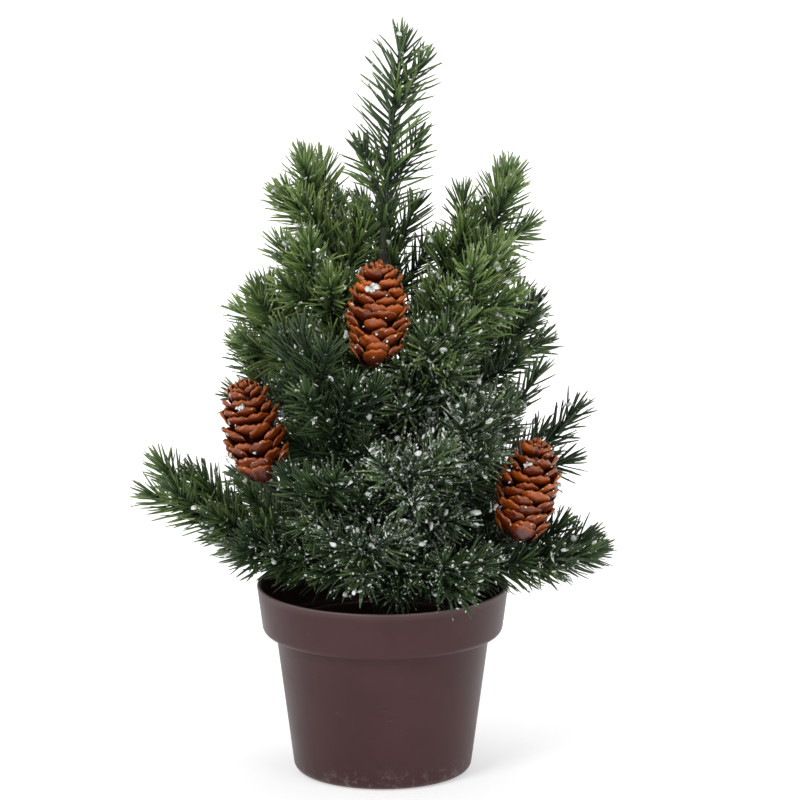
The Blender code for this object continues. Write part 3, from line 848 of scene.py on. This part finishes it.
def build_cone(name, seed):
    """A core with rows of scales, along the axis and inside the width of its CAD cone."""
    body = node = "cone_" + name
    # Lower for the left cone, as painted shade.
    lightness = CONE_TONE_AND_SHADE[name]
    rng = np.random.default_rng(seed)
    points = node_points(node)
    middle = points.mean(0)
    _, _, shapes = np.linalg.svd(points - middle, full_matrices=False)
    axis = shapes[0] * np.sign(shapes[0][2])
    reach = (points - middle) @ axis
    foot, length = middle + axis * reach.min(), reach.max() - reach.min()
    outer = np.linalg.norm(points - middle - reach[:, None] * axis, axis=1).max()
    side = unit(np.cross(axis, (0, 1, 0)))
    sides = (side, np.cross(axis, side), axis)
    batch = Batch()
    core = Line([foot + axis * length * s for s in np.linspace(0.0, CORE_TALL, 12)], side)
    widths = np.interp(np.linspace(0, 1, 8), CONE_SHARES, CONE_WIDTHS)
    radii = [CORE_WIDE * outer * w for w in widths]
    # The core's marks of 0 give it the darkest of the cone material's painted shade.
    add_tube(batch, core, 0, core.length, radii, 16, (0, 0, 0), 16)
    for row in range(CONE_ROWS):
        low = row / (CONE_ROWS - 1)
        count = CONE_SCALES - (2 if row in (0, CONE_ROWS - 1) else 0)
        for k in range(count):
            at = 0.01 + 0.79 * low + rng.normal(0, 0.014)
            r = outer * float(np.interp(at + 0.13, CONE_SHARES, CONE_WIDTHS)) * rng.uniform(0.88, 0.96)
            turn = 2 * math.pi * (k + 0.5 * (row % 2) + 0.06 * row) / count + rng.normal(0, 0.10)
            wide = SCALE_WIDTH * MM * math.sqrt(min(r / outer, 1.0)) * rng.uniform(0.80, 1.08)
            long = (SCALE_LENGTH - SCALE_SHORTER * low) * MM * rng.uniform(0.88, 1.10)
            flare = rng.uniform(1.2, 2.8) * MM * (1 - 0.65 * low)
            tilt = rng.normal(0, 0.10)
            height, tone = length * at - 0.5 * MM, rng.random() * lightness
            add_scale(batch, foot, sides, turn, height, r, wide, long, tone, flare, tilt)
    for at, share, count, wide in CONE_TOP:
        for k in range(count):
            turn = 2 * math.pi * (k + at * 7) / count + rng.normal(0, 0.1)
            height = length * at + rng.normal(0, 0.3) * MM
            r, tone = outer * share, rng.random() * lightness
            add_scale(batch, foot, sides, turn, height, r, wide * MM, TOP_LENGTH, tone, 0, 0)
    batch.make("scales_" + name, CONE, body, "cone_plastic", (node,))
    flakes = Batch()
    n = CONE_FLAKES
    share, turn = rng.uniform(0.1, 0.98, n), rng.uniform(0, 2 * math.pi, n)
    r = outer * np.interp(share, CONE_SHARES, CONE_WIDTHS) + 0.2 * MM
    facing = sides[0] * np.cos(turn)[:, None] + sides[1] * np.sin(turn)[:, None]
    spots = foot + axis * (share * length)[:, None] + facing * r[:, None]
    add_flakes(flakes, spots, facing, 0.33 * MM * rng.lognormal(0, 0.4, n), rng)
    n = CLUMP_FLAKES
    for share, turn in CONE_CLUMPS:
        out = sides[0] * math.cos(turn - CONE_FRONT) + sides[1] * math.sin(turn - CONE_FRONT)
        r = outer * float(np.interp(share, CONE_SHARES, CONE_WIDTHS)) + 0.3 * MM
        places = foot + axis * share * length + out * r + rng.normal(0, 0.9, (n, 3)) * MM
        add_flakes(flakes, places, np.tile(out, (n, 1)), 0.7 * MM * rng.lognormal(0, 0.35, n), rng)
    flakes.make("flock_cone_" + name, FLOCK, body)


# ---------------------------------------------------------------- trunk and pot


TRUNK_TAPE_PITCH = 6 * MM


def build_trunk():
    """The taped trunk, which follows the axis and the radii of its CAD sleeve."""
    points = node_points("trunk_tape_sleeve")
    low, high = points[:, 2].min(), points[:, 2].max()
    levels = np.unique(np.round(points[:, 2], 5))
    centres, radii = [], []
    for z in levels:
        ring = points[np.abs(points[:, 2] - z) < 1e-5]
        middle = (ring.min(0) + ring.max(0)) / 2
        centres.append(middle)
        radii.append(np.linalg.norm((ring - middle)[:, :2], axis=1).max())
    t = np.linspace(low, high, 60)
    path = np.stack([np.interp(t, levels, np.array(centres)[:, k]) for k in range(3)], -1)
    line = Line(path, (1, 0, 0))
    widths = tuple(np.interp(t, levels, radii))
    look = ("stand", "trunk_tape", TRUNK_TAPE, "trunk_tape_sleeve")
    taped("taped_trunk", line, 0, line.length, widths, *look, TRUNK_TAPE_PITCH)


def rounded(corners, steps=6):
    """The outline through corners of (radius, height, rounding), with an arc at each rounded one."""
    points = []
    for k, (r, z, rounding) in enumerate(corners):
        here = np.array((r, z), float)
        if not rounding:
            points.append(here)
            continue
        back = unit(np.array(corners[k - 1][:2]) - here)
        ahead = unit(np.array(corners[k + 1][:2]) - here)
        half = math.acos(float(np.clip(back @ ahead, -1, 1))) / 2
        centre = here + unit(back + ahead) * (rounding / math.sin(half))
        first = here + back * (rounding / math.tan(half)) - centre
        last = here + ahead * (rounding / math.tan(half)) - centre
        for step in range(steps + 1):
            points.append(centre + unit(first * (steps - step) + last * step) * rounding)
    return points


def fine(outline, pitch):
    """The outline with its long stretches cut into steps of about pitch."""
    points = []
    for a, b in zip(outline, outline[1:]):
        steps = max(int(np.linalg.norm(b - a) / pitch), 1)
        points += [a + (b - a) * k / steps for k in range(steps)]
    return [*points, outline[-1]]


def turned(name, outline, sides, shape, material, slot, node):
    """A turned piece whose outline starts and ends on the axis. shape changes each ring."""
    turn = np.arange(sides) * 2 * math.pi / sides
    rings, marks = zip(*(shape(r, z, turn) for r, z in outline[1:-1]))
    hubs = np.array([[0, 0, outline[0][1]], [0, 0, outline[-1][1]]])
    last = (len(rings) - 1) * sides
    count = last + sides
    tris = [(k, (k + 1) % sides, count) for k in range(sides)]
    tris += [(last + (k + 1) % sides, last + k, count + 1) for k in range(sides)]
    batch = Batch()
    quads = strip_faces(len(rings), sides)[:, ::-1]
    batch.add(np.concatenate([*rings, hubs]), quads, tris, np.concatenate([*marks, hubs * 0]))
    batch.make(name, material, "stand", slot, (node,))


# The pot's outline in mm, as (radius, height, rounding), for a rim of POT_RIM and a height of
# POT_TALL. It goes from the middle of the inside over the lip to the middle of the foot.
POT_RIM, POT_TALL = 54.5, 82.5
POT_SIDES, BALLAST_SIDES = 160, 96
POT_OUTLINE = (
    (0, 1.8, 0), (36.94, 1.8, 2.5), (44.8, 62.8, 1.4), (50.2, 62.8, 1.7), (53.0, 82.5, 0.7),
    (54.5, 82.5, 0.7), (51.7, 61.3, 3.2), (46.3, 61.3, 1.4), (38.2, 0, 4.0), (0, 0, 0),
)


def build_pot():
    """The thin pot, turned from its outline and scaled to the CAD pot's rim and height."""
    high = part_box("pot_shell")[1]
    outline = [p * (high.x / POT_RIM, high.z / POT_TALL) for p in rounded(POT_OUTLINE)]

    def shape(r, z, turn):
        """A thin moulding is never quite round at its rim, and its lip is painted paler as a
        highlight.
        """
        up = smooth(z, 0.5 * high.z, high.z)
        out = r + up * (0.12 * np.sin(2 * turn + 0.6) + 0.05 * np.sin(5 * turn)) * MM
        # The mark for the painted highlight on the top of the lip.
        lip = smooth(z, high.z - 1.1 * MM, high.z - 0.1 * MM)
        ring = np.stack([out * np.cos(turn), out * np.sin(turn), np.full(len(turn), z)], -1)
        return ring, np.tile((0, 0, lip), (len(turn), 1))

    outline = fine(outline, 2.5 * MM)
    turned("pot", outline, POT_SIDES, shape, POT, "pot_plastic", "pot_shell")


def build_ballast():
    """The cast plaster, with a lumpy top that rises towards the trunk."""
    rng = np.random.default_rng(5)
    low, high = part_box("plaster_ballast")
    edge, mouth, well = high.x, 5.3 * MM, high.z - 6 * MM  # the well is where the trunk stands
    top = high.z - 2.5 * MM
    corners = [(0, well), (mouth, well), (mouth, high.z), (edge, top)]
    corners += [(edge - 4.8 * MM, low.z + 3 * MM), (edge - 8 * MM, low.z), (0, low.z)]
    outline = [np.array(corner) for corner in corners]
    waves = [(rng.integers(2, 9), rng.uniform(0, 6.3), rng.uniform(0.05, 0.16)) for _ in range(7)]

    def shape(r, z, turn):
        lump = sum(a * np.sin(k * turn + p + r * 260) for k, p, a in waves) * MM
        free = smooth(z, top - 1 * MM, top) * smooth(r, 6 * MM, 10 * MM) * smooth(edge - r, 0, 3 * MM)
        drop = z - np.abs(lump) * free
        ring = np.stack([r * np.cos(turn), r * np.sin(turn), drop], -1)
        return ring, np.zeros((len(turn), 3))

    outline = fine(outline, 1.6 * MM)
    turned("ballast", outline, BALLAST_SIDES, shape, PLASTER, "plaster", "plaster_ballast")


def paint_node(node, material):
    """Gives a CAD node that stays in view its material."""
    data = frame["nodes"][node].data
    data.materials.clear()
    data.materials.append(material)


# ---------------------------------------------------------------- studio


AMBIENT, BACKDROP = 0.42, 1.02  # the world's strength as a light, and as the camera sees it
FLOOR_HALF, FLOOR_DROP = 6.0, 0.2 * MM
# Each light: name, place, size in metres and power in watts.
LIGHTS = (
    ("key", (-0.75, -1.1, 1.15), 0.6, 10.5),
    ("fill", (0.95, -1.0, 0.7), 0.9, 3.5),
    ("top", (0.1, 0.3, 1.4), 0.9, 5),
)
LIT_POINT = (0, 0, 0.15)


def build_studio():
    """A pale floor, a white world and three soft lights."""
    n = Nodes("pale_floor")
    n.paint(n.mix(n.range(n.noise(3, 2), 0.3, 0.7), (0.90, 0.90, 0.90), (0.92, 0.92, 0.92)))
    n.set(Roughness=0.9, Emission_Color=(1, 1, 1, 1))
    away = n.add("VectorMath", operation="LENGTH")
    n.link(n.object, away.inputs[0])
    n.link(n.range(away.outputs["Value"], 0.1, 0.9, 0.45, 0.85), n.shader.inputs["Emission Strength"])
    mesh = bpy.data.meshes.new("floor")
    s = FLOOR_HALF
    mesh.from_pydata([(-s, -s, 0), (s, -s, 0), (s, s, 0), (-s, s, 0)], [], [(0, 1, 2, 3)])
    mesh.materials.append(n.material)
    floor = bpy.data.objects.new("floor", mesh)
    bpy.context.scene.collection.objects.link(floor)
    floor.location.z = -FLOOR_DROP

    world = bpy.data.worlds.new("studio")
    world.use_nodes = True
    background = world.node_tree.nodes["Background"]
    background.inputs["Color"].default_value = (1, 1, 1, 1)
    path = world.node_tree.nodes.new("ShaderNodeLightPath")
    seen = world.node_tree.nodes.new("ShaderNodeMapRange")
    seen.inputs["To Min"].default_value, seen.inputs["To Max"].default_value = AMBIENT, BACKDROP
    world.node_tree.links.new(path.outputs["Is Camera Ray"], seen.inputs["Value"])
    world.node_tree.links.new(seen.outputs["Result"], background.inputs["Strength"])
    bpy.context.scene.world = world
    for name, place, size, power in LIGHTS:
        light = bpy.data.lights.new(name, "AREA")
        light.size, light.energy = size, power
        obj = bpy.data.objects.new(name, light)
        obj.location = place
        bpy.context.scene.collection.objects.link(obj)
        aim(obj, LIT_POINT)
    bpy.context.scene.view_settings.view_transform = "Standard"


def aim(obj, target):
    """Turns a camera or light to look at a point."""
    ahead = Vector(target) - obj.location
    obj.rotation_euler = ahead.to_track_quat("-Z", "Y").to_euler()


CAMERA_DISTANCE, CAMERA_TILT, CAMERA_LENS = 3.0, 13.0, 314.0  # metres, degrees, mm
CAMERA_TARGET = (0.0075, 0.0, 0.1638)


def build_camera():
    """In front of the tree and a little above it, with a long lens."""
    data = bpy.data.cameras.new("camera")
    data.lens, data.sensor_width = CAMERA_LENS, 36
    camera = bpy.data.objects.new("camera", data)
    e = math.radians(CAMERA_TILT)
    x, y, z = CAMERA_TARGET
    camera.location = (x, y - CAMERA_DISTANCE * math.cos(e), z + CAMERA_DISTANCE * math.sin(e))
    bpy.context.scene.collection.objects.link(camera)
    aim(camera, CAMERA_TARGET)
    bpy.context.scene.camera = camera


build_branches()
build_leader()
for seed, cone in enumerate(CONE_TONE_AND_SHADE):
    build_cone(cone, 300 + seed)
build_trunk()
build_pot()
build_ballast()
paint_node("trunk_rod", STEEL)
for cone in CONE_TONE_AND_SHADE:
    paint_node("cone_wire_" + cone, WIRE_TAPE)
build_studio()
build_camera()
